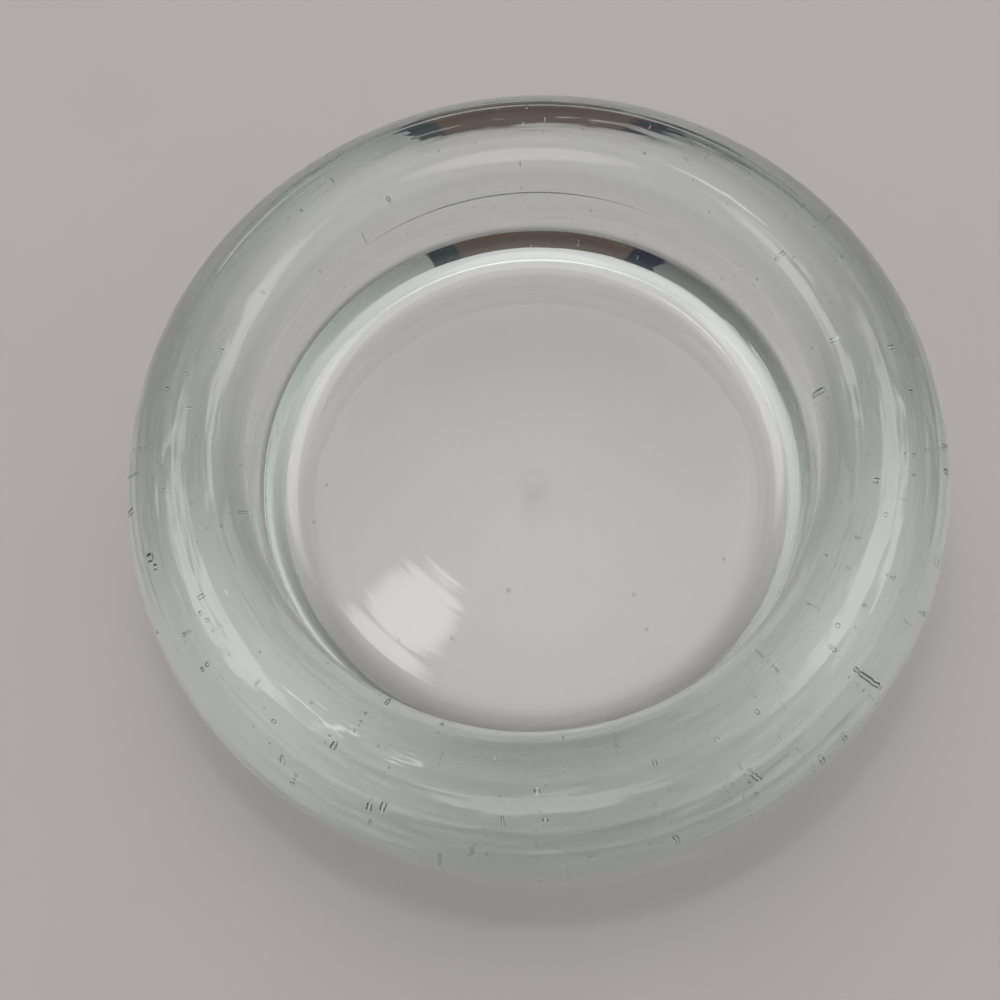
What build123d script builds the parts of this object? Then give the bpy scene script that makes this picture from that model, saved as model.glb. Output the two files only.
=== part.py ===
from build123d import *

import os
from math import asin, atan, cos, degrees, radians, sin, tan

# A thick clear glass bowl for floating candles, all lengths in millimetres.
# The origin is on the surface that the bowl stands on, at the middle of its base, and +Z is up.
# The bowl is one piece of glass: a fat rounded ring, a flat well floor and a recessed underside.

# Outside of the ring; the shoulder and the foot take shares of the ring's width
outer_radius = 90.0
bowl_height = 44.0
widest_height = 26.5
foot_height = 15.6
shoulder_share = 0.62
foot_share = 0.42

# Well in the middle of the ring
ring_width = 28.5
lip_drop = 8.6
wall_lean_degrees = 4.7
floor_height = 12.0
floor_fillet_radius = 9.0

# Underside: a shallow recess leaves a narrow flat land that the bowl stands on; a rounded rim
# leads up from the land to a straight slope, and an arc takes the slope into the flat middle
recess_inset = 13.6
recess_depth = 5.7
rim_width = 9.1
slope_degrees = 22.5
slope_width = 4.0
mould_mark_radius = 3.0
mould_mark_depth = 0.4

# Gas trapped in the glass
largest_seed_diameter = 2.1
thickest_blister_width = 1.3
longest_blister_length = 5.2

# The crest is the top of the ring, between the outer shoulder and the inner lip
mouth_radius = outer_radius - ring_width
shoulder_width = shoulder_share * ring_width
crest_radius = outer_radius - shoulder_width
shoulder_height = bowl_height - widest_height
lip_width = crest_radius - mouth_radius
foot_inset = foot_share * ring_width
land_outer_radius = outer_radius - foot_inset

# The lip curve runs on past its narrowest point until it is as steep as the leaning wall
lip_overrun_degrees = degrees(atan(tan(radians(wall_lean_degrees)) * lip_drop / lip_width))

# The recess: a rounded rim and a slope up from the land, then an arc that ends level
recess_radius = outer_radius - recess_inset
rim_radius = rim_width / sin(radians(slope_degrees))
slope_foot = (recess_radius - rim_width, rim_radius * (1 - cos(radians(slope_degrees))))
slope_top = (
    slope_foot[0] - slope_width,
    slope_foot[1] + slope_width * tan(radians(slope_degrees)),
)
recess_arc_radius = (recess_depth - slope_top[1]) / (1 - cos(radians(slope_degrees)))
recess_flat_radius = slope_top[0] - recess_arc_radius * sin(radians(slope_degrees))

# The mould mark is a shallow dimple, a cap of a large sphere
mould_mark_sphere = (mould_mark_radius**2 + mould_mark_depth**2) / (2 * mould_mark_depth)
mould_mark_top = recess_depth + mould_mark_depth

# Round seeds in the ring: turn in degrees from +X, then shares of the ring's width from the
# mouth outwards, of the bowl's height, and of the largest seed's diameter.
ring_seed_shares = [
    (-168, 0.72, 0.72, 1.00),
    (-166, 0.70, 0.76, 0.71),
    (-166, 0.88, 0.66, 0.48),
    (-158, 0.85, 0.70, 0.48),
    (-158, 0.49, 0.84, 0.48),
    (-156, 0.54, 0.80, 0.52),
    (-154, 0.51, 0.86, 0.48),
    (-155, 0.67, 0.72, 0.52),
    (-150, 0.65, 0.62, 0.48),
    (-149, 0.82, 0.58, 0.45),
    (-163, 0.14, 0.58, 0.48),
    (-136, 0.56, 0.74, 0.57),
    (-130, 0.65, 0.50, 0.48),
    (-126, 0.46, 0.82, 0.60),
    (-123, 0.20, 0.66, 0.45),
    (-118, 0.63, 0.66, 0.57),
    (-116, 0.62, 0.70, 0.57),
    (-112, 0.22, 0.60, 0.48),
    (-94, 0.40, 0.80, 0.62),
    (-93, 0.54, 0.74, 0.62),
    (-94, 0.90, 0.62, 0.45),
    (-75, 0.36, 0.58, 0.48),
    (-65, 0.40, 0.72, 0.48),
    (-57, 0.41, 0.64, 0.48),
    (-54, 0.79, 0.62, 0.57),
    (-50, 0.82, 0.66, 0.55),
    (-42, 0.46, 0.72, 0.48),
    (-42, 0.15, 0.64, 0.55),
    (-39, 0.42, 0.80, 0.50),
    (-38, 0.13, 0.54, 0.55),
    (-30, 0.84, 0.66, 0.48),
    (-27, 0.58, 0.60, 0.45),
    (-25, 0.86, 0.58, 0.57),
    (-19, 0.47, 0.76, 0.48),
    (-13, 0.42, 0.70, 0.57),
    (-10, 0.82, 0.70, 0.71),
    (2, 0.65, 0.66, 0.45),
    (5, 0.23, 0.70, 0.71),
    (9, 0.61, 0.74, 0.48),
    (13, 0.33, 0.76, 0.57),
    (33, 0.47, 0.60, 0.48),
    (113, 0.44, 0.64, 0.48),
    (121, 0.80, 0.70, 0.45),
    (157, 0.42, 0.72, 0.57),
    (165, 0.65, 0.64, 0.48),
    (169, 0.47, 0.78, 0.48),
    (174, 0.72, 0.56, 0.45),
]

# Round seeds in the floor: turn in degrees, then shares of the mouth's radius, of the glass
# between recess and floor, and of the largest seed's diameter.
floor_seed_shares = [
    (176, 0.80, 0.55, 0.38),
    (-174, 0.86, 0.50, 0.38),
    (-134, 0.80, 0.45, 0.38),
    (-121, 0.69, 0.60, 0.38),
    (-107, 0.45, 0.55, 0.45),
    (-60, 0.72, 0.50, 0.38),
    (-56, 0.59, 0.40, 0.38),
    (-30, 0.78, 0.55, 0.38),
]

# Blisters drawn out while the glass was soft: turn in degrees, shares of the ring's width and
# of the bowl's height, the angle in degrees between the blister and the ring's radius, and
# shares of the longest blister's length and of the thickest one's width.
blister_shares = [
    (-176, 0.86, 0.66, 8, 0.90, 1.00),
    (179, 0.84, 0.72, 4, 1.00, 0.40),
    (168, 0.84, 0.62, 75, 0.42, 0.60),
    (172, 0.90, 0.60, 40, 0.40, 0.55),
    (-132, 0.66, 0.64, 60, 0.42, 0.62),
    (-107, 0.79, 0.60, 12, 0.72, 0.45),
    (-103, 0.71, 0.66, -30, 0.56, 0.40),
    (-99, 0.56, 0.76, 15, 0.36, 0.45),
    (-76, 0.76, 0.66, 20, 0.36, 0.70),
    (-63, 0.65, 0.70, 35, 0.44, 0.70),
    (-42, 0.71, 0.66, 6, 0.96, 0.90),
    (-21, 0.79, 0.58, 82, 1.00, 0.40),
    (-6, 0.80, 0.66, 10, 0.50, 0.55),
    (33, 0.80, 0.62, 30, 0.36, 0.55),
    (33, 0.17, 0.46, 15, 0.80, 0.40),
]


def ring_point(turn, across_share, height_share):
    """A point in the glass of the ring, from its turn about the axis and two shares."""
    radius = mouth_radius + across_share * ring_width
    return (
        radius * cos(radians(turn)),
        radius * sin(radians(turn)),
        height_share * bowl_height,
    )


def floor_point(turn, radius_share, depth_share):
    """A point in the glass under the well, from its turn about the axis and two shares."""
    radius = radius_share * mouth_radius
    floor_thickness = floor_height - recess_depth
    return (
        radius * cos(radians(turn)),
        radius * sin(radians(turn)),
        recess_depth + depth_share * floor_thickness,
    )


# Round seeds, small spheres of gas
with BuildPart() as seed_bubbles:
    for turn, across_share, height_share, size_share in ring_seed_shares:
        with Locations(ring_point(turn, across_share, height_share)):
            Sphere(size_share * largest_seed_diameter / 2)
    for turn, radius_share, depth_share, size_share in floor_seed_shares:
        with Locations(floor_point(turn, radius_share, depth_share)):
            Sphere(size_share * largest_seed_diameter / 2)
seed_bubbles.part.label = "seed_bubbles"

# Drawn blisters, each a straight run with rounded ends, turned about its long axis
with BuildPart() as drawn_blisters:
    for turn, across_share, height_share, swing, length_share, width_share in blister_shares:
        half_length = length_share * longest_blister_length / 2
        half_width = width_share * thickest_blister_width / 2
        straight = half_length - half_width
        heading = radians(turn + swing)
        along = (cos(heading), sin(heading), 0)
        blister_plane = Plane(
            origin=ring_point(turn, across_share, height_share), x_dir=along, z_dir=(0, 0, 1)
        )
        with BuildSketch(blister_plane):
            with BuildLine():
                CenterArc((straight, 0), half_width, 0, 90)
                Line((straight, half_width), (-straight, half_width))
                CenterArc((-straight, 0), half_width, 90, 90)
                Line((-half_length, 0), (half_length, 0))
            make_face()
        revolve(axis=Axis(blister_plane.origin, along))
drawn_blisters.part.label = "drawn_blisters"

# The glass, one outline turned about the axis, with a cavity for each seed and blister
with BuildPart() as glass_bowl:
    with BuildSketch(Plane.XZ) as outline:
        with BuildLine():
            mark = CenterArc(
                (0, mould_mark_top - mould_mark_sphere),
                mould_mark_sphere,
                90,
                -degrees(asin(mould_mark_radius / mould_mark_sphere)),
            )
            Line(mark @ 1, (recess_flat_radius, recess_depth))
            CenterArc(
                (recess_flat_radius, recess_depth - recess_arc_radius),
                recess_arc_radius,
                90,
                -slope_degrees,
            )
            Line(slope_top, slope_foot)
            CenterArc((recess_radius, rim_radius), rim_radius, 270 - slope_degrees, slope_degrees)
            Line((recess_radius, 0), (land_outer_radius, 0))
            EllipticalCenterArc(
                (land_outer_radius, foot_height), foot_inset, foot_height, 270, arc_size=90
            )
            Line((outer_radius, foot_height), (outer_radius, widest_height))
            EllipticalCenterArc(
                (crest_radius, widest_height), shoulder_width, shoulder_height, 0, arc_size=90
            )
            lip = EllipticalCenterArc(
                (crest_radius, bowl_height - lip_drop),
                lip_width,
                lip_drop,
                90,
                arc_size=90 + lip_overrun_degrees,
            )
            wall_top = lip @ 1
            wall_run = (wall_top.Y - floor_height) * tan(radians(wall_lean_degrees))
            wall_foot = (wall_top.X + wall_run, floor_height)
            Line(wall_top, wall_foot)
            Line(wall_foot, (0, floor_height))
            Line((0, floor_height), (0, mould_mark_top))
        make_face()
        floor_corner = outline.vertices().sort_by_distance((wall_foot[0], floor_height, 0))[0]
        fillet(floor_corner, radius=floor_fillet_radius)
    revolve(axis=Axis.Z)
    add(seed_bubbles.part, mode=Mode.SUBTRACT)
    add(drawn_blisters.part, mode=Mode.SUBTRACT)
glass_bowl.part.label = "glass_bowl"

os.makedirs("parts", exist_ok=True)
export_step(glass_bowl.part, "parts/glass_bowl.step")
export_step(seed_bubbles.part, "parts/seed_bubbles.step")
export_step(drawn_blisters.part, "parts/drawn_blisters.step")

print("glass", round(glass_bowl.part.volume), "mm3, seeds", len(seed_bubbles.part.solids()))
print("blisters", len(drawn_blisters.part.solids()), "outline height", glass_bowl.part.bounding_box().size.Z)
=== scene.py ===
import math

import bmesh
import bpy
import numpy as np
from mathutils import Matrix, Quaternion, Vector


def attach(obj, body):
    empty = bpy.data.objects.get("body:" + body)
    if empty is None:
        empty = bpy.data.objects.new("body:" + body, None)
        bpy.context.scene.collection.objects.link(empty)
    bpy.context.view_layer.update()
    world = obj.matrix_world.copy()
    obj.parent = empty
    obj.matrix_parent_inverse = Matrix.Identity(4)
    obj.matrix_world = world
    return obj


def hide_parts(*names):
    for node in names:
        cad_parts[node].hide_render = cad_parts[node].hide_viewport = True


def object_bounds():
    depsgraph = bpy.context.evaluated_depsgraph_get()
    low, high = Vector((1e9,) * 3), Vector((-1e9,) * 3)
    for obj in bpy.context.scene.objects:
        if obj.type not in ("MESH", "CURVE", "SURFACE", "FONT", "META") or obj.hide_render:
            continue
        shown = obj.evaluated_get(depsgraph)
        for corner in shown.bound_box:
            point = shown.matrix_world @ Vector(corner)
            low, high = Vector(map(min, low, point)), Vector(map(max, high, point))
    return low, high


bl_info = {
    "name": "Floating Candle Bowl",
    "version": (1, 0, 0),
    "blender": (4, 5, 0),
    "location": "3D View > Sidebar > Candle Bowl",
    "description": "Makes a thick clear glass bowl for floating candles, with gas seeds in the glass",
    "category": "Object",
}

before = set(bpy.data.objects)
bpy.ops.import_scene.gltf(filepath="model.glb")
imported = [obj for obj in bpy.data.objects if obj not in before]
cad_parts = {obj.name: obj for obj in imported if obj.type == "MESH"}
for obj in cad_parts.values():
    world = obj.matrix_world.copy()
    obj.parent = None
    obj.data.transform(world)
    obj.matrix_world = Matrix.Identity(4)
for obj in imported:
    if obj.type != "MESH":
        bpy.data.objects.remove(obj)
CAD_LOW, CAD_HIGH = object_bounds()

MM = 0.001
MICROMETRE = 1e-6
SAME_PLACE = 1e-7  # points of the section's two ends on the axis are merged within this distance


# Sizes and colours that a user would change


def length(name, description, default):
    return bpy.props.FloatProperty(
        name=name,
        description=description,
        default=default,
        min=0.0,
        unit="LENGTH",
        subtype="DISTANCE",
    )


def colour(name, description, default):
    return bpy.props.FloatVectorProperty(
        name=name, description=description, default=default, size=3, min=0.0, max=1.0, subtype="COLOR"
    )


def angle(name, description, default):
    return bpy.props.FloatProperty(
        name=name,
        description=description,
        default=math.radians(default),
        unit="ROTATION",
        subtype="ANGLE",
    )


def amount(name, description, default):
    return bpy.props.FloatProperty(name=name, description=description, default=default, min=0.0)


class BowlShape(bpy.types.PropertyGroup):
    outer_radius: length("Outer Radius", "Radius of the ring at its widest", CAD_HIGH.x)
    height: length("Height", "Height of the crest above the base", CAD_HIGH.z)
    widest_height: length("Widest Height", "Height at which the shoulder begins", 26.5 * MM)
    foot_height: length("Foot Height", "Height at which the rounded foot ends", 15.6 * MM)
    shoulder_width: length("Shoulder Width", "How far the shoulder reaches in to the crest", 17.67 * MM)
    foot_inset: length("Foot Inset", "How far the outside draws in down to the base", 11.97 * MM)
    mouth_radius: length("Mouth Radius", "Radius of the well at its narrowest", 61.5 * MM)
    lip_drop: length("Lip Drop", "Height of the rounded lip above the wall", 8.6 * MM)
    wall_lean: angle("Wall Lean", "How far the well's wall leans outwards going down", 4.7)
    floor_height: length("Floor Height", "Height of the well's floor above the base", 12.0 * MM)
    floor_fillet: length("Floor Fillet", "Radius of the curve at the foot of the wall", 9.0 * MM)
    recess_radius: length("Recess Radius", "Radius of the recess in the underside", 76.4 * MM)
    recess_depth: length("Recess Depth", "Depth of the recess in the underside", 5.7 * MM)
    rim_width: length("Rim Width", "Width of the rounded rim inside the land", 9.1 * MM)
    slope: angle("Slope", "Slope of the recess inside the rim", 22.5)
    slope_width: length("Slope Width", "Width of that slope", 4.0 * MM)
    mark_radius: length("Mark Radius", "Radius of the mould mark under the floor", 3.0 * MM)
    mark_depth: length("Mark Depth", "Depth of the mould mark", 0.4 * MM)
    seam_radius: length("Seam Radius", "Radius of the mould's seam on the shoulder", 79.2 * MM)
    seam_height: length("Seam Height", "How far the mould's seam stands up", 0.06 * MM)
    seam_width: length("Seam Width", "Width of the mould's seam", 0.5 * MM)
    groove_start: length("Groove Start", "Height of the lowest groove above the foot", 2.1 * MM)
    groove_depth: length("Groove Depth", "Depth of the fine grooves round the outside", 0.2 * MM)
    groove_width: length("Groove Width", "Width of those grooves", 0.7 * MM)
    groove_spacing: length("Groove Spacing", "Height from one groove to the next", 3.4 * MM)
    groove_count: bpy.props.IntProperty(
        name="Grooves", description="Number of those grooves", default=3, min=0
    )
    steps_around: bpy.props.IntProperty(
        name="Steps Around", description="Faces in one turn of the glass", default=330, min=16
    )


class GlassFinish(bpy.types.PropertyGroup):
    tint: colour("Tint", "Colour that thick glass takes on", (0.84, 0.945, 0.89))
    tint_density: amount("Tint Density", "How soon the tint shows, per metre of glass", 12.0)
    bending: bpy.props.FloatProperty(
        name="Bending", description="Index of refraction of the glass", default=1.52, min=1.0
    )
    wave_height: length("Wave Height", "Height of the slow waves in the surface", 0.04 * MM)
    wave_size: length("Wave Size", "Distance between the slow waves", 22.0 * MM)
    still_below: length("Still Below", "Height over which the waves grow from nothing", 2.0 * MM)
    ring_depth: amount("Ring Depth", "Depth of the mould's faint rings, in micrometres", 420.0)
    ring_width: length("Ring Width", "Distance between those rings", 3.2 * MM)
    chill_share: amount("Chill Share", "Depth of the chill wrinkles against the rings", 0.12)


class GasInGlass(bpy.types.PropertyGroup):
    fine_count: bpy.props.IntProperty(
        name="Fine Seeds", description="Number of the finest seeds in the ring", default=300, min=0
    )
    fine_smallest: length("Smallest Seed", "Diameter of the finest seed", 0.2 * MM)
    fine_largest: length("Largest Fine Seed", "Diameter of the coarsest of the fine seeds", 0.8 * MM)
    fine_radius: length("Fine Seed Radius", "Radius of the ring of fine seeds", 76.0 * MM)
    fine_height: length("Fine Seed Height", "Height of the middle of that ring", 25.0 * MM)
    fine_across: length("Fine Seed Reach", "How far they spread across from there", 10.0 * MM)
    fine_up: length("Fine Seed Rise", "How far they spread up and down from there", 13.5 * MM)
    fine_crowding: amount("Fine Seed Crowding", "Above 1, more of them lie on the near side", 1.25)
    fine_rarity: amount("Rarity of Large Seeds", "Above 1, small ones outnumber large ones", 1.7)
    fine_pattern: bpy.props.IntProperty(
        name="Pattern", description="Picks one scatter of the fine seeds", default=7
    )
    roundness: bpy.props.IntProperty(
        name="Roundness", description="Faces round a seed or blister", default=24, min=6
    )


class Studio(bpy.types.PropertyGroup):
    paper: colour("Paper", "Colour of the sheet that the bowl stands on", (0.445, 0.418, 0.418))
    even_light: amount("Even Light", "Light from all round that falls on the paper", 0.45)
    window_light: amount("Window Light", "Light that the window throws on the paper", 1.95)
    backdrop: amount("Backdrop", "Shade of the plain backdrop behind the paper", 0.44)
    room_low: amount("Low Room", "Shade of the room near the horizon", 0.02)
    room_far: amount("Far Room", "What the far side of the room adds to that", 0.75)
    room_window: amount("Room Window", "What the soft window high up adds", 0.75)
    gloss_even: amount("Even Gloss", "Light from all round that the glass mirrors", 0.3)
    gloss_ceiling: amount("Gloss Ceiling", "Light from overhead that the glass mirrors", 0.8)
    gloss_windows: amount("Gloss Windows", "Light of the windows that the glass mirrors", 3.0)
    camera_elevation: angle("Camera Elevation", "Height of the camera over the horizon", 72.0)
    camera_roll: angle("Camera Roll", "Turn of the picture about the view's axis", -5.6)
    camera_distance: length("Camera Distance", "From the camera to the bowl", 0.27)


# Helpers for node trees


def put(tree, kind, values=None, **settings):
    """A new node of this kind, with these input values and with properties set by name."""
    node = tree.nodes.new(kind)
    for key, value in settings.items():
        setattr(node, key, value)
    for label, value in (values or {}).items():
        node.inputs[label].default_value = value
    return node


def maths(tree, operation, first, second=None):
    """A Math node; each operand is a number or an output socket."""
    node = tree.nodes.new("ShaderNodeMath")
    node.operation = operation
    for socket, value in zip(node.inputs, (first, second)):
        if isinstance(value, bpy.types.NodeSocket):
            tree.links.new(value, socket)
        elif value is not None:
            socket.default_value = value
    return node.outputs[0]


def eased(tree, value, start, end, low=0.0, high=1.0):
    """A smooth change from low to high as the value goes from start to end."""
    ends = {"From Min": start, "From Max": end, "To Min": low, "To Max": high}
    node = put(tree, "ShaderNodeMapRange", ends, interpolation_type="SMOOTHSTEP")
    tree.links.new(value, node.inputs["Value"])
    return node.outputs["Result"]


def cloudy(tree, dimensions, place, scale, detail, distortion=0.0, depth=None):
    """The grey value of a Noise Texture; depth is the fourth coordinate, where it has one."""
    grain = {"Scale": scale, "Detail": detail, "Distortion": distortion}
    node = put(tree, "ShaderNodeTexNoise", grain, noise_dimensions=dimensions)
    tree.links.new(place, node.inputs["Vector"])
    if depth is not None:
        tree.links.new(depth, node.inputs["W"])
    return node.outputs["Fac"]


def new_tree(name, sockets):
    """A geometry node tree with a geometry in and out and these named inputs."""
    tree = bpy.data.node_groups.new(name, "GeometryNodeTree")
    tree.is_modifier = True
    tree.interface.new_socket("Geometry", in_out="INPUT", socket_type="NodeSocketGeometry")
    for label, kind in sockets:
        tree.interface.new_socket(label, in_out="INPUT", socket_type="NodeSocket" + kind)
    tree.interface.new_socket("Geometry", in_out="OUTPUT", socket_type="NodeSocketGeometry")
    return tree, tree.nodes.new("NodeGroupInput"), tree.nodes.new("NodeGroupOutput")


def finish_tree(tree, given, result, shape):
    """Ends a tree: smooth faces, real geometry instead of instances, and the material."""
    link = tree.links.new
    smooth = tree.nodes.new("GeometryNodeSetShadeSmooth")
    real = tree.nodes.new("GeometryNodeRealizeInstances")
    coat = tree.nodes.new("GeometryNodeSetMaterial")
    link(shape, real.inputs["Geometry"])
    link(real.outputs["Geometry"], smooth.inputs["Geometry"])
    link(smooth.outputs["Geometry"], coat.inputs["Geometry"])
    link(given.outputs["Material"], coat.inputs["Material"])
    link(coat.outputs["Geometry"], result.inputs["Geometry"])


def grow(name, mesh, tree, values):
    """Runs a tree on a mesh and returns the result as a plain mesh object."""
    piece = bpy.data.objects.new(name, mesh)
    bpy.context.scene.collection.objects.link(piece)
    modifier = piece.modifiers.new("Shape", "NODES")
    modifier.node_group = tree
    for item in tree.interface.items_tree:
        if item.item_type == "SOCKET" and item.in_out == "INPUT" and item.name in values:
            modifier[item.identifier] = values[item.name]
    bpy.context.view_layer.update()
    graph = bpy.context.evaluated_depsgraph_get()
    plain = bpy.data.meshes.new_from_object(piece.evaluated_get(graph), depsgraph=graph)
    piece.modifiers.clear()
    piece.data = plain
    plain.name = name
    if not plain.polygons:
        raise RuntimeError(name + " came out empty")
    return piece


# The glass


def arc(middle, wide, high, start, turn, steps):
    """Points on part of an ellipse; 0 degrees is outwards and 90 is up."""
    points = []
    for step in range(steps + 1):
        at = math.radians(start + turn * step / steps)
        points.append((middle[0] + wide * math.cos(at), middle[1] + high * math.sin(at)))
    return points


def run(start, end, steps):
    """Points on a straight line, without its two ends."""
    return [
        (start[0] + (end[0] - start[0]) * step / steps, start[1] + (end[1] - start[1]) * step / steps)
        for step in range(1, steps)
    ]


def rounded(before, corner, after, radius, steps):
    """Points on the arc that rounds the corner between two straight legs."""
    a, c, b = Vector(before), Vector(corner), Vector(after)
    to_a, to_b = (a - c).normalized(), (b - c).normalized()
    half = to_a.angle(to_b) / 2
    middle = c + (to_a + to_b).normalized() * (radius / math.sin(half))
    first = c + to_a * (radius / math.tan(half)) - middle
    last = c + to_b * (radius / math.tan(half)) - middle
    start = math.atan2(first.y, first.x)
    sweep = (math.atan2(last.y, last.x) - start + math.pi) % (2 * math.pi) - math.pi
    return arc(middle, radius, radius, math.degrees(start), math.degrees(sweep), steps)


def bell(share):
    """A smooth bump: 1 in its middle, next to nothing at shares of -1 and 1."""
    return math.exp(-((2 * share) ** 2))


def outer_wall(s):
    """The upright part of the outside, with the fine grooves left by the mould."""
    points = []
    for groove in range(s.groove_count):
        middle = s.foot_height + s.groove_start + groove * s.groove_spacing
        for step in range(-5, 6):
            share = step / 5
            sunk = s.groove_depth * bell(share)
            points.append((s.outer_radius - sunk, middle + share * s.groove_width))
    return points


def shoulder(s, crest):
    """The rounded shoulder from the widest place up to the crest, with the mould's fine seam."""
    middle, wide, high = (crest, s.widest_height), s.shoulder_width, s.height - s.widest_height
    seam = math.degrees(math.acos((s.seam_radius - crest) / wide))
    half = math.degrees(2 * s.seam_width / wide)
    points = arc(middle, wide, high, 0, seam - half, steps=28)
    for step in range(1, 16):
        share = step / 8 - 1
        at = seam + half * share
        rise = s.seam_height * bell(share) / wide
        points += arc(middle, wide * (1 + rise), high * (1 + rise), at, 0, steps=1)[:1]
    return points + arc(middle, wide, high, seam + half, 90 - seam - half, steps=9)


def glass_section(s):
    """The outline of the glass as (radius, height), from the axis under the floor, round the
    outside and over the lip to the axis on the well's floor."""
    mark_top = s.recess_depth + s.mark_depth
    ball = (s.mark_radius**2 + s.mark_depth**2) / (2 * s.mark_depth)
    half_cap = math.degrees(math.asin(s.mark_radius / ball))
    points = arc((0.0, mark_top - ball), ball, ball, 90, -half_cap, steps=6)

    rim = s.rim_width / math.sin(s.slope)
    slope_foot = (s.recess_radius - s.rim_width, rim * (1 - math.cos(s.slope)))
    slope_top = (slope_foot[0] - s.slope_width, slope_foot[1] + s.slope_width * math.tan(s.slope))
    bend = (s.recess_depth - slope_top[1]) / (1 - math.cos(s.slope))
    flat_end = slope_top[0] - bend * math.sin(s.slope)
    turn = math.degrees(s.slope)
    points += run(points[-1], (flat_end, s.recess_depth), steps=14)
    points += arc((flat_end, s.recess_depth - bend), bend, bend, 90, -turn, steps=20)
    points += run(slope_top, slope_foot, steps=5)
    points += arc((s.recess_radius, rim), rim, rim, 270 - turn, turn, steps=18)
    land_end = (s.outer_radius - s.foot_inset, 0.0)
    points += run(points[-1], land_end, steps=3)

    wide = (s.outer_radius - s.foot_inset, s.foot_height)
    points += arc(wide, s.foot_inset, s.foot_height, 270, 90, steps=34)
    points += outer_wall(s)
    crest = s.outer_radius - s.shoulder_width
    points += shoulder(s, crest)
    lip_width = crest - s.mouth_radius
    overrun = math.degrees(math.atan(math.tan(s.wall_lean) * s.lip_drop / lip_width))
    lip = (crest, s.height - s.lip_drop)
    points += arc(lip, lip_width, s.lip_drop, 90, 90 + overrun, steps=38)[1:]

    wall_top = points[-1]
    corner = (wall_top[0] + (wall_top[1] - s.floor_height) * math.tan(s.wall_lean), s.floor_height)
    foot = rounded(wall_top, corner, (0.0, s.floor_height), s.floor_fillet, steps=26)
    points += run(wall_top, foot[0], steps=6)
    points += foot
    points += run(foot[-1], (0.0, s.floor_height), steps=14)
    points.append((0.0, s.floor_height))
    return points


def turned_glass_tree():
    """Turns a section about the vertical axis, then gives the surface slow, shallow waves."""
    tree, given, result = new_tree(
        "Turned Glass",
        [
            ("Steps Around", "Int"),
            ("Wave Height", "Float"),
            ("Wave Size", "Float"),
            ("Still Below", "Float"),
            ("Material", "Material"),
        ],
    )
    link = tree.links.new
    count = put(tree, "GeometryNodeAttributeDomainSize", component="MESH")
    link(given.outputs["Geometry"], count.inputs["Geometry"])
    last = maths(tree, "SUBTRACT", count.outputs["Point Count"], 1.0)

    unit = {"Radius": 1.0, "Depth": 1.0}
    tube = put(tree, "GeometryNodeMeshCylinder", unit, fill_type="NONE")
    link(given.outputs["Steps Around"], tube.inputs["Vertices"])
    link(last, tube.inputs["Side Segments"])

    place = put(tree, "GeometryNodeInputPosition")
    apart = put(tree, "ShaderNodeSeparateXYZ")
    link(place.outputs[0], apart.inputs[0])
    along = maths(tree, "ADD", apart.outputs["Z"], 0.5)
    index = maths(tree, "ROUND", maths(tree, "MULTIPLY", along, last))
    section = put(tree, "GeometryNodeSampleIndex", data_type="FLOAT_VECTOR", domain="POINT")
    link(given.outputs["Geometry"], section.inputs["Geometry"])
    link(place.outputs[0], section.inputs["Value"])
    link(index, section.inputs["Index"])
    point = put(tree, "ShaderNodeSeparateXYZ")
    link(section.outputs["Value"], point.inputs[0])
    turned = put(tree, "ShaderNodeCombineXYZ")
    link(maths(tree, "MULTIPLY", apart.outputs["X"], point.outputs["X"]), turned.inputs["X"])
    link(maths(tree, "MULTIPLY", apart.outputs["Y"], point.outputs["X"]), turned.inputs["Y"])
    link(point.outputs["Z"], turned.inputs["Z"])
    lathe = put(tree, "GeometryNodeSetPosition")
    link(tube.outputs["Mesh"], lathe.inputs["Geometry"])
    link(turned.outputs[0], lathe.inputs["Position"])
    closed = put(tree, "GeometryNodeMergeByDistance", {"Distance": SAME_PLACE})
    link(lathe.outputs["Geometry"], closed.inputs["Geometry"])

    scale = maths(tree, "DIVIDE", 1.0, given.outputs["Wave Size"])
    noise = put(tree, "ShaderNodeTexNoise", {"Detail": 1.0}, noise_dimensions="3D")
    link(place.outputs[0], noise.inputs["Vector"])
    link(scale, noise.inputs["Scale"])
    swing = maths(tree, "SUBTRACT", noise.outputs["Fac"], 0.5)
    height = maths(tree, "MULTIPLY", swing, given.outputs["Wave Height"])
    here = put(tree, "ShaderNodeSeparateXYZ")
    link(place.outputs[0], here.inputs[0])
    rise = maths(tree, "DIVIDE", here.outputs["Z"], given.outputs["Still Below"])
    still = maths(tree, "MINIMUM", maths(tree, "MAXIMUM", rise, 0.0), 1.0)
    normal = put(tree, "GeometryNodeInputNormal")
    push = put(tree, "ShaderNodeVectorMath", operation="SCALE")
    link(normal.outputs[0], push.inputs[0])
    link(maths(tree, "MULTIPLY", height, still), push.inputs["Scale"])
    waves = put(tree, "GeometryNodeSetPosition")
    link(closed.outputs["Geometry"], waves.inputs["Geometry"])
    link(push.outputs[0], waves.inputs["Offset"])
    finish_tree(tree, given, result, waves.outputs["Geometry"])
    return tree


# Marks in the skin: their widths, the places between which they come or fade, and what is left of
# them beyond, as a share of their depth on the near side's upper half
WRINKLE_WIDTH, WRINKLES_ALONG = 0.45 * MM, 6.0
FLOW_WIDTH, FLOW_ALONG, FLOW_SHARE = 5.0 * MM, 4.5, 1.2
PATCH_SIZE, PATCH_EDGE = 16.0 * MM, (0.5, 0.68)
RING_EDGE, FLOOR_SHARE = (60.0 * MM, 68.0 * MM), 0.25
FAR_SIDE, FAR_SHARE = (5.0 * MM, 50.0 * MM), 0.22
UPPER_HEIGHTS, LOW_SHARE = (20.0 * MM, 40.0 * MM), 0.2


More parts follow.
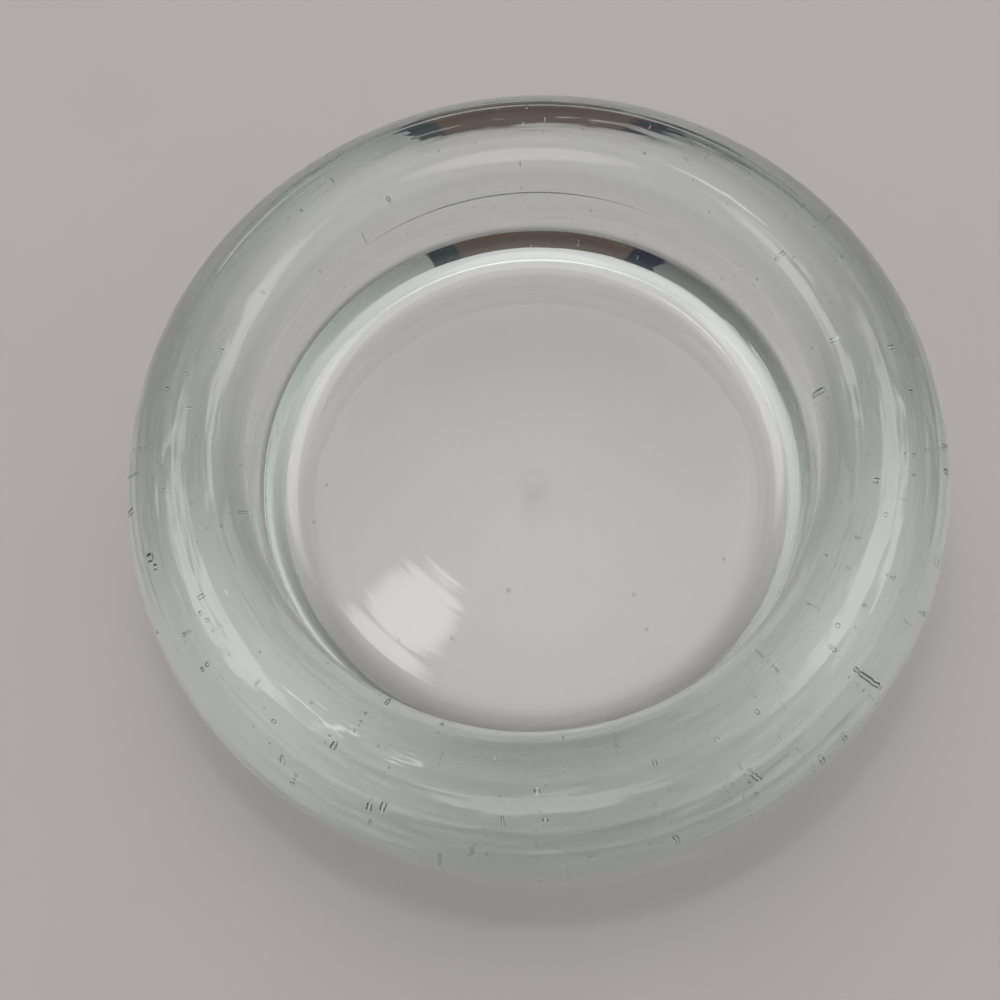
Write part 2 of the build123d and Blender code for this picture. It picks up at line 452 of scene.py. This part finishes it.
def glass_skin(tree, finish):
    """The surface that the mould left: faint rings about the axis, and on the ring a slow flow
    drawn out round the axis, with patches of fine wrinkles where the glass chilled first."""
    link = tree.links.new
    place = put(tree, "ShaderNodeTexCoord").outputs["Object"]
    apart = put(tree, "ShaderNodeSeparateXYZ")
    link(place, apart.inputs[0])
    flat = put(tree, "ShaderNodeCombineXYZ")
    link(apart.outputs["X"], flat.inputs["X"])
    link(apart.outputs["Y"], flat.inputs["Y"])
    length_of = put(tree, "ShaderNodeVectorMath", operation="LENGTH")
    link(flat.outputs[0], length_of.inputs[0])
    radius = length_of.outputs["Value"]
    heading = put(tree, "ShaderNodeVectorMath", operation="NORMALIZE")
    link(flat.outputs[0], heading.inputs[0])
    facing = put(tree, "ShaderNodeSeparateXYZ")
    link(heading.outputs[0], facing.inputs[0])

    def strands(width, along, detail, distortion):
        """Noise of this width across, drawn out round the axis."""
        strand = put(tree, "ShaderNodeCombineXYZ")
        link(maths(tree, "DIVIDE", radius, width), strand.inputs["X"])
        link(maths(tree, "MULTIPLY", facing.outputs["X"], along), strand.inputs["Y"])
        link(maths(tree, "MULTIPLY", facing.outputs["Y"], along), strand.inputs["Z"])
        depth = maths(tree, "DIVIDE", apart.outputs["Z"], width)
        return cloudy(tree, "4D", strand.outputs[0], 1.0, detail, distortion, depth)

    across = put(tree, "ShaderNodeCombineXYZ")
    link(radius, across.inputs["X"])
    link(apart.outputs["Z"], across.inputs["Y"])
    rings = cloudy(tree, "2D", across.outputs[0], 1.0 / finish.ring_width, detail=1.5)
    on_ring = eased(tree, radius, *RING_EDGE)
    fuller = maths(tree, "MULTIPLY", on_ring, 1.0 - FLOOR_SHARE)
    ridges = maths(tree, "MULTIPLY", rings, maths(tree, "ADD", fuller, FLOOR_SHARE))

    wrinkles = strands(WRINKLE_WIDTH, WRINKLES_ALONG, detail=2.0, distortion=0.4)
    patches = eased(tree, cloudy(tree, "3D", place, 1.0 / PATCH_SIZE, detail=2.0), *PATCH_EDGE)
    chill = maths(tree, "MULTIPLY", maths(tree, "MULTIPLY", wrinkles, patches), on_ring)
    chill = maths(tree, "MULTIPLY", chill, finish.chill_share)
    flow = strands(FLOW_WIDTH, FLOW_ALONG, detail=1.2, distortion=0.6)
    flow = maths(tree, "MULTIPLY", maths(tree, "MULTIPLY", flow, FLOW_SHARE), on_ring)

    height = maths(tree, "ADD", ridges, maths(tree, "ADD", chill, flow))
    clean = eased(tree, apart.outputs["Y"], *FAR_SIDE, 1.0, FAR_SHARE)
    height = maths(tree, "MULTIPLY", height, clean)
    upper = eased(tree, apart.outputs["Z"], *UPPER_HEIGHTS, LOW_SHARE, 1.0)
    height = maths(tree, "MULTIPLY", height, upper)
    depth = finish.ring_depth * MICROMETRE
    bump = put(tree, "ShaderNodeBump", {"Strength": 1.0, "Distance": depth})
    link(height, bump.inputs["Height"])
    return bump.outputs["Normal"]


def clear_glass(finish):
    """Pale aqua clear glass: the colour only shows where the light goes far through it."""
    material = bpy.data.materials.new("clear_glass")
    material.use_nodes = True
    tree = material.node_tree
    link = tree.links.new
    shader = tree.nodes["Principled BSDF"]
    shader.inputs["Base Color"].default_value = (1.0, 1.0, 1.0, 1.0)
    shader.inputs["Roughness"].default_value = 0.0
    shader.inputs["IOR"].default_value = finish.bending
    shader.inputs["Transmission Weight"].default_value = 1.0
    link(glass_skin(tree, finish), shader.inputs["Normal"])
    soaked = {"Color": (*finish.tint, 1.0), "Density": finish.tint_density}
    soak = put(tree, "ShaderNodeVolumeAbsorption", soaked)
    link(soak.outputs[0], tree.nodes["Material Output"].inputs["Volume"])
    return material


class BOWL_OT_glass(bpy.types.Operator):
    """Turns the thick glass of the bowl from its section"""

    bl_idname = "bowl.glass"
    bl_label = "Make Glass"

    def execute(self, context):
        shape, finish = context.scene.bowl_shape, context.scene.bowl_glass
        points = glass_section(shape)
        mesh = bpy.data.meshes.new("section")
        edges = [(i, i + 1) for i in range(len(points) - 1)]
        mesh.from_pydata([(r, 0.0, z) for r, z in points], edges, [])
        glass = grow(
            "turned_glass",
            mesh,
            turned_glass_tree(),
            {
                "Steps Around": shape.steps_around,
                "Wave Height": finish.wave_height,
                "Wave Size": finish.wave_size,
                "Still Below": finish.still_below,
                "Material": clear_glass(finish),
            },
        )
        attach(glass, "root")
        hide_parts("glass_bowl")
        return {"FINISHED"}


# Gas in the glass


def gas_tree():
    """Puts one bubble on each point: a ball of the point's width, drawn out to its length."""
    tree, given, result = new_tree("Gas Bubbles", [("Roundness", "Int"), ("Material", "Material")])
    link = tree.links.new

    def named(name):
        node = put(tree, "GeometryNodeInputNamedAttribute", {"Name": name}, data_type="FLOAT_VECTOR")
        return node.outputs["Attribute"]

    def kept(shape, name):
        """Stores where each point is now, for use after the copies are made."""
        node = put(tree, "GeometryNodeStoreNamedAttribute", data_type="FLOAT_VECTOR", domain="POINT")
        node.inputs["Name"].default_value = name
        link(shape, node.inputs["Geometry"])
        link(put(tree, "GeometryNodeInputPosition").outputs[0], node.inputs["Value"])
        return node.outputs["Geometry"]

    ball = put(tree, "GeometryNodeMeshUVSphere", {"Radius": 0.5})
    link(given.outputs["Roundness"], ball.inputs["Segments"])
    link(given.outputs["Roundness"], ball.inputs["Rings"])
    copies = put(tree, "GeometryNodeInstanceOnPoints")
    link(kept(given.outputs["Geometry"], "middle"), copies.inputs["Points"])
    link(kept(ball.outputs["Mesh"], "ball"), copies.inputs["Instance"])
    real = put(tree, "GeometryNodeRealizeInstances")
    link(copies.outputs["Instances"], real.inputs["Geometry"])

    shape = put(tree, "ShaderNodeSeparateXYZ")
    link(named("ball"), shape.inputs[0])
    size = put(tree, "ShaderNodeSeparateXYZ")
    link(named("size"), size.inputs[0])
    longer = maths(tree, "SUBTRACT", size.outputs["X"], size.outputs["Y"])
    straight = maths(tree, "MULTIPLY", longer, 0.5)
    reach = maths(tree, "MULTIPLY", shape.outputs["Z"], size.outputs["Y"])
    coarse = maths(tree, "ROUND", maths(tree, "MULTIPLY", shape.outputs["Z"], 1000.0))
    side = maths(tree, "SIGN", coarse)
    long = maths(tree, "ADD", reach, maths(tree, "MULTIPLY", side, straight))
    drawn = put(tree, "ShaderNodeCombineXYZ")
    link(long, drawn.inputs["X"])
    link(maths(tree, "MULTIPLY", shape.outputs["X"], size.outputs["Y"]), drawn.inputs["Z"])
    link(maths(tree, "MULTIPLY", shape.outputs["Y"], size.outputs["Y"]), drawn.inputs["Y"])
    spin = put(tree, "ShaderNodeVectorRotate", rotation_type="EULER_XYZ")
    link(drawn.outputs[0], spin.inputs["Vector"])
    link(named("turn"), spin.inputs["Rotation"])
    where = put(tree, "ShaderNodeVectorMath", operation="ADD")
    link(spin.outputs[0], where.inputs[0])
    link(named("middle"), where.inputs[1])
    move = put(tree, "GeometryNodeSetPosition")
    link(real.outputs["Geometry"], move.inputs["Geometry"])
    link(where.outputs[0], move.inputs["Position"])
    outward = put(tree, "GeometryNodeFlipFaces")
    link(move.outputs["Geometry"], outward.inputs["Mesh"])
    finish_tree(tree, given, result, outward.outputs["Mesh"])
    return tree


def fine_seed_tree():
    """Scatters the finest seeds through the ring, more of them in its near half than its far one."""
    tree, given, result = new_tree(
        "Fine Seeds",
        [
            ("Count", "Int"),
            ("Ring Radius", "Float"),
            ("Ring Height", "Float"),
            ("Spread Across", "Float"),
            ("Spread Up", "Float"),
            ("Smallest", "Float"),
            ("Largest", "Float"),
            ("Crowding", "Float"),
            ("Rarity", "Float"),
            ("Seed", "Int"),
            ("Material", "Material"),
        ],
    )
    link = tree.links.new
    number = put(tree, "GeometryNodeInputIndex")

    def chance(low, high, offset):
        node = put(tree, "FunctionNodeRandomValue", data_type="FLOAT")
        node.inputs[2].default_value = low
        node.inputs[3].default_value = high
        link(number.outputs[0], node.inputs["ID"])
        link(maths(tree, "ADD", given.outputs["Seed"], offset), node.inputs["Seed"])
        return node.outputs[1]

    side = chance(-1.0, 1.0, 1)
    pull = maths(tree, "POWER", maths(tree, "ABSOLUTE", side), given.outputs["Crowding"])
    swing = maths(tree, "MULTIPLY", maths(tree, "MULTIPLY", pull, maths(tree, "SIGN", side)), math.pi)
    turn = maths(tree, "SUBTRACT", swing, math.radians(90))
    around = chance(0.0, 2 * math.pi, 2)
    reach = maths(tree, "SQRT", chance(0.0, 1.0, 3))
    across = maths(tree, "MULTIPLY", reach, maths(tree, "COSINE", around))
    across = maths(tree, "MULTIPLY", across, given.outputs["Spread Across"])
    up = maths(tree, "MULTIPLY", reach, maths(tree, "SINE", around))
    up = maths(tree, "MULTIPLY", up, given.outputs["Spread Up"])
    radius = maths(tree, "ADD", given.outputs["Ring Radius"], across)
    place = put(tree, "ShaderNodeCombineXYZ")
    link(maths(tree, "MULTIPLY", radius, maths(tree, "COSINE", turn)), place.inputs["X"])
    link(maths(tree, "MULTIPLY", radius, maths(tree, "SINE", turn)), place.inputs["Y"])
    link(maths(tree, "ADD", given.outputs["Ring Height"], up), place.inputs["Z"])
    points = put(tree, "GeometryNodePoints")
    link(given.outputs["Count"], points.inputs["Count"])
    link(place.outputs[0], points.inputs["Position"])

    coarse = maths(tree, "POWER", chance(0.0, 1.0, 4), given.outputs["Rarity"])
    span = maths(tree, "SUBTRACT", given.outputs["Largest"], given.outputs["Smallest"])
    size = maths(tree, "ADD", given.outputs["Smallest"], maths(tree, "MULTIPLY", coarse, span))
    ball = put(tree, "GeometryNodeMeshIcoSphere", {"Radius": 0.5, "Subdivisions": 2})
    copies = put(tree, "GeometryNodeInstanceOnPoints")
    link(points.outputs[0], copies.inputs["Points"])
    link(ball.outputs["Mesh"], copies.inputs["Instance"])
    link(size, copies.inputs["Scale"])
    finish_tree(tree, given, result, copies.outputs["Instances"])
    return tree


def gas_look(name, bending):
    """A hollow in the glass: light bends back out of the glass where it meets the gas."""
    material = bpy.data.materials.new(name)
    material.use_nodes = True
    tree = material.node_tree
    tree.nodes.remove(tree.nodes["Principled BSDF"])
    clear = {"Color": (1.0, 1.0, 1.0, 1.0), "Roughness": 0.0, "IOR": 1.0 / bending}
    hollow = put(tree, "ShaderNodeBsdfGlass", clear)
    tree.links.new(hollow.outputs[0], tree.nodes["Material Output"].inputs["Surface"])
    return material


def bubbles_of(node):
    """Middle, long axis, length and width of each bubble in a CAD node."""
    work = bmesh.new()
    work.from_mesh(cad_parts[node].data)
    bmesh.ops.remove_doubles(work, verts=work.verts, dist=1e-6)
    found, seen = [], set()
    for first in work.verts:
        if first in seen:
            continue
        island, queue = [], [first]
        seen.add(first)
        while queue:
            vert = queue.pop()
            island.append(vert.co[:])
            for edge in vert.link_edges:
                other = edge.other_vert(vert)
                if other not in seen:
                    seen.add(other)
                    queue.append(other)
        cloud = np.array(island)
        middle = (cloud.min(0) + cloud.max(0)) / 2
        spread = cloud - cloud.mean(0)
        axes = np.linalg.svd(spread, full_matrices=False)[2]
        reach = np.abs((cloud - middle) @ axes.T).max(0)
        found.append((middle, axes[0], 2 * reach[0], 2 * reach[1]))
    work.free()
    return found


def bubble_points(node):
    """A mesh with one point for each bubble in a CAD node, and its size and turn."""
    bubbles = bubbles_of(node)
    mesh = bpy.data.meshes.new(node + "_points")
    mesh.from_pydata([tuple(b[0]) for b in bubbles], [], [])
    size = mesh.attributes.new("size", "FLOAT_VECTOR", "POINT")
    turn = mesh.attributes.new("turn", "FLOAT_VECTOR", "POINT")
    for number, (middle, axis, long, wide) in enumerate(bubbles):
        size.data[number].vector = (long, wide, wide)
        turn.data[number].vector = (0.0, 0.0, math.atan2(axis[1], axis[0]))
    return mesh


class BOWL_OT_gas(bpy.types.Operator):
    """Puts the round seeds and the drawn blisters of gas into the glass"""

    bl_idname = "bowl.gas"
    bl_label = "Make Seeds and Blisters"

    def execute(self, context):
        finish, gas = context.scene.bowl_glass, context.scene.bowl_gas
        look = gas_look("gas_bubble", finish.bending)
        tree = gas_tree()
        for node in ("seed_bubbles", "drawn_blisters"):
            values = {"Roundness": gas.roundness, "Material": look}
            piece = grow("gas_" + node, bubble_points(node), tree, values)
            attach(piece, "root")
            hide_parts(node)
        fine = grow(
            "gas_fine_seeds",
            bpy.data.meshes.new("no_points"),
            fine_seed_tree(),
            {
                "Count": gas.fine_count,
                "Ring Radius": gas.fine_radius,
                "Ring Height": gas.fine_height,
                "Spread Across": gas.fine_across,
                "Spread Up": gas.fine_up,
                "Smallest": gas.fine_smallest,
                "Largest": gas.fine_largest,
                "Crowding": gas.fine_crowding,
                "Rarity": gas.fine_rarity,
                "Seed": gas.fine_pattern,
                "Material": look,
            },
        )
        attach(fine, "root")
        return {"FINISHED"}


# The stage: paper, boards, soft light and camera

PAPER_REACH, PAPER_HEIGHT = 3.0, -0.4 * MM
PAPER_CLOUDS, PAPER_MOTTLE = 60.0 * MM, 0.03

# Boards that show only in the glass: name, shade, and the turn in degrees from one end to the other
BOARD_DISTANCE, BOARD_RISE = 0.8, (30, 69)
BOARDS = (
    ("dark_board", (0.085, 0.055, 0.045), (-126, -74)),
    ("left_end_board", (0.02, 0.03, 0.035), (-74, -66)),
    ("right_end_board", (0.012, 0.014, 0.03), (-135, -126)),
)

# Lights of the room: turn and rise in degrees, then the nearness to that direction (a cosine) at
# which each begins and at which it is full
HIGH_WINDOW = (90, 67, 0.93, 0.995)
PAPER_WINDOW = (90, 57, 0.8, 1.0)
DULL_CEILING, DULLED = (90, 40, 0.75, 0.93), -0.8
MIRRORED_WINDOWS = (
    ((160, 57, 0.94, 0.982), 1.0),
    ((20, 59, 0.935, 0.98), 1.0),
    ((-97, 70, 0.95, 0.985), 0.7),
    ((119, 76, 0.9988, 0.9996), 1.3),
)
BRIGHTER_SIDE = (60, 0)

# Bands of the room, as the sine of the rise at which each begins and at which it is full
WALLS, CEILING = (0.1, 0.65), (0.3, 0.7)
AROUND, OVERHEAD, OVERHEAD_CUT = (0.35, 0.55), (0.9, 0.97), -0.5

# The photograph's frame in pixels: its middle, the pixel of the bowl's middle, and the focal length
FRAME_MIDDLE, BOWL_PIXEL, FOCAL_PIXELS = 500.0, (534.0, 488.0), 1110.0
AIM_HEIGHT = 2.4 * MM


def direction(turn, rise):
    """The unit vector at this turn from +X and this rise over the horizon, in radians."""
    level = math.cos(rise)
    return level * math.cos(turn), level * math.sin(turn), math.sin(rise)


def plain_mesh(name, corners, faces, material):
    mesh = bpy.data.meshes.new(name)
    mesh.from_pydata(corners, [], faces)
    mesh.materials.append(material)
    board = bpy.data.objects.new(name, mesh)
    bpy.context.scene.collection.objects.link(board)
    return board


def paper_look(studio):
    material = bpy.data.materials.new("pale_paper")
    material.use_nodes = True
    shader = material.node_tree.nodes["Principled BSDF"]
    tree = material.node_tree
    link = tree.links.new
    place = put(tree, "ShaderNodeTexCoord").outputs["Object"]
    tone = put(tree, "ShaderNodeMix", data_type="RGBA")
    tone.inputs[6].default_value = (*((1.0 - PAPER_MOTTLE) * value for value in studio.paper), 1.0)
    tone.inputs[7].default_value = (*((1.0 + PAPER_MOTTLE) * value for value in studio.paper), 1.0)
    link(cloudy(tree, "3D", place, 1.0 / PAPER_CLOUDS, detail=3.0), tone.inputs[0])
    link(tone.outputs[2], shader.inputs["Base Color"])
    shader.inputs["Roughness"].default_value = 0.9
    shader.inputs["Specular IOR Level"].default_value = 0.1
    return material


def board_look(name, shade):
    """A board of one even shade, whatever light falls on it."""
    material = bpy.data.materials.new(name)
    material.use_nodes = True
    tree = material.node_tree
    tree.nodes.remove(tree.nodes["Principled BSDF"])
    glow = put(tree, "ShaderNodeEmission", {"Color": (*shade, 1.0)})
    tree.links.new(glow.outputs[0], tree.nodes["Material Output"].inputs["Surface"])
    return material


def curved_board(name, shade, turns):
    """A piece of a large ball round the bowl, seen only in the glass."""
    steps = 12
    corners, faces = [], []
    for i in range(steps + 1):
        rise = math.radians(BOARD_RISE[0] + (BOARD_RISE[1] - BOARD_RISE[0]) * i / steps)
        for k in range(steps + 1):
            turn = math.radians(turns[0] + (turns[1] - turns[0]) * k / steps)
            corners.append(tuple(BOARD_DISTANCE * part for part in direction(turn, rise)))
    for i in range(steps):
        for k in range(steps):
            a = i * (steps + 1) + k
            faces.append((a, a + 1, a + steps + 2, a + steps + 1))
    board = plain_mesh(name, corners, faces, board_look(name, shade))
    board.visible_camera = False
    board.visible_glossy = False


def soft_sky(studio):
    """A plain room whose light has a level of its own for each use: what shows through the glass
    (dim near the horizon, lighter on the far side and at a window high up), what falls on the
    paper, what the outside of the glass mirrors, and the pale backdrop behind the paper."""
    world = bpy.data.worlds.new("soft_sky")
    bpy.context.scene.world = world
    world.use_nodes = True
    tree = world.node_tree
    link = tree.links.new
    way = put(tree, "ShaderNodeTexCoord").outputs["Generated"]
    apart = put(tree, "ShaderNodeSeparateXYZ")
    link(way, apart.inputs[0])
    upward = apart.outputs["Z"]

    def towards(turn, rise):
        """How nearly a direction points this way, 1 at its middle."""
        middle = direction(math.radians(turn), math.radians(rise))
        node = put(tree, "ShaderNodeVectorMath", {1: middle}, operation="DOT_PRODUCT")
        link(way, node.inputs[0])
        return node.outputs["Value"]

    def lobe(turn, rise, begins, full):
        return eased(tree, towards(turn, rise), begins, full)

    def product(*parts):
        result = parts[0]
        for part in parts[1:]:
            result = maths(tree, "MULTIPLY", result, part)
        return result

    def total(*parts):
        """The sum of these parts, each a value or a pair to be multiplied."""
        result = 0.0
        for part in parts:
            value = product(*part) if isinstance(part, tuple) else part
            result = maths(tree, "ADD", result, value)
        return result

    # What shows through the glass
    side = total((towards(*BRIGHTER_SIDE), 0.5), 0.5)
    upper = total((side, studio.room_far), (lobe(*HIGH_WINDOW), studio.room_window))
    shade = total((eased(tree, upward, *WALLS), upper), studio.room_low)

    # Which kind of ray asks: after a bounce on the paper it brings the paper light, and any other
    # is a look at the room, straight, in the glass or in its outside
    path = put(tree, "ShaderNodeLightPath").outputs
    before = maths(tree, "LESS_THAN", path["Diffuse Depth"], 0.5)
    outside = maths(tree, "LESS_THAN", path["Transmission Depth"], 0.5)
    seen, glossy_ray = path["Is Camera Ray"], path["Is Glossy Ray"]
    looking = maths(tree, "MAXIMUM", seen, glossy_ray)
    looking = maths(tree, "MAXIMUM", looking, path["Is Transmission Ray"])
    lighting = maths(tree, "SUBTRACT", 1.0, product(looking, before))
    mirrored = product(glossy_ray, outside, before)

    # What falls on the paper
    around = total(eased(tree, upward, *AROUND), (eased(tree, upward, *OVERHEAD), OVERHEAD_CUT))
    extra = total((around, studio.even_light), (lobe(*PAPER_WINDOW), studio.window_light))

    # What the outside mirrors: a ceiling, duller on the far side, and the windows
    ceiling = total((eased(tree, upward, *CEILING), studio.gloss_ceiling), studio.gloss_even)
    duller = total((lobe(*DULL_CEILING), DULLED), 1.0)
    windows = total(*((lobe(*window), share) for window, share in MIRRORED_WINDOWS))
    glossy = total((ceiling, duller), (windows, studio.gloss_windows))

    shade = total((shade, maths(tree, "SUBTRACT", 1.0, seen)), (seen, studio.backdrop))
    room = tree.nodes["Background"]
    room.inputs["Color"].default_value = (1.0, 0.99, 0.98, 1.0)
    link(total(shade, (lighting, extra), (mirrored, glossy)), room.inputs["Strength"])


def aim_camera(studio):
    """The camera stands steeply above the near side of the bowl, a little to one side."""
    lens = bpy.data.cameras.new("camera")
    camera = bpy.data.objects.new("camera", lens)
    bpy.context.scene.collection.objects.link(camera)
    lens.sensor_width = 36.0
    lens.lens = FOCAL_PIXELS / (2 * FRAME_MIDDLE) * lens.sensor_width
    lens.clip_start = 0.01
    rise = studio.camera_elevation
    away = Vector((0.0, -math.cos(rise), math.sin(rise))) * studio.camera_distance
    level = (-away).to_track_quat("-Z", "Y")
    roll = Quaternion((0.0, 0.0, 1.0), studio.camera_roll)
    right, down = ((pixel - FRAME_MIDDLE) / FOCAL_PIXELS for pixel in BOWL_PIXEL)
    seen = Vector((right, -down, -1.0)).normalized()
    camera.rotation_mode = "QUATERNION"
    camera.rotation_quaternion = level @ roll @ seen.rotation_difference(Vector((0.0, 0.0, -1.0)))
    camera.location = away + Vector((0.0, 0.0, AIM_HEIGHT))
    bpy.context.scene.camera = camera


class BOWL_OT_stage(bpy.types.Operator):
    """Lays the paper, hangs the boards, lights the room and places the camera"""

    bl_idname = "bowl.stage"
    bl_label = "Make Stage"

    def execute(self, context):
        scene = context.scene
        studio = scene.bowl_studio
        scene.view_settings.view_transform = "Standard"
        scene.cycles.max_bounces = 32
        scene.cycles.transmission_bounces = 32
        scene.cycles.glossy_bounces = 32
        scene.cycles.blur_glossy = 0.0
        far, under = PAPER_REACH, PAPER_HEIGHT
        plain_mesh(
            "paper",
            [(-far, -far, under), (far, -far, under), (far, far, under), (-far, far, under)],
            [(0, 1, 2, 3)],
            paper_look(studio),
        )
        for board in BOARDS:
            curved_board(*board)
        soft_sky(studio)
        aim_camera(studio)
        return {"FINISHED"}


class BOWL_PT_panel(bpy.types.Panel):
    """Lists the pieces of the bowl and the stage"""

    bl_idname = "BOWL_PT_panel"
    bl_label = "Candle Bowl"
    bl_space_type = "VIEW_3D"
    bl_region_type = "UI"
    bl_category = "Candle Bowl"

    def draw(self, context):
        layout = self.layout
        for name in GROUPS:
            group = getattr(context.scene, name)
            box = layout.box()
            for key in group.__annotations__:
                box.prop(group, key)
        for operator in STEPS:
            layout.operator(operator.bl_idname)


GROUPS = {
    "bowl_shape": BowlShape,
    "bowl_glass": GlassFinish,
    "bowl_gas": GasInGlass,
    "bowl_studio": Studio,
}
STEPS = (BOWL_OT_glass, BOWL_OT_gas, BOWL_OT_stage)


def register():
    for kind in (*GROUPS.values(), *STEPS, BOWL_PT_panel):
        bpy.utils.register_class(kind)
    for name, kind in GROUPS.items():
        setattr(bpy.types.Scene, name, bpy.props.PointerProperty(type=kind))


def unregister():
    for name in GROUPS:
        delattr(bpy.types.Scene, name)
    for kind in reversed((*GROUPS.values(), *STEPS, BOWL_PT_panel)):
        bpy.utils.unregister_class(kind)


def main():
    register()
    bpy.ops.bowl.glass()
    bpy.ops.bowl.gas()
    bpy.ops.bowl.stage()


if __name__ == "__main__":
    main()
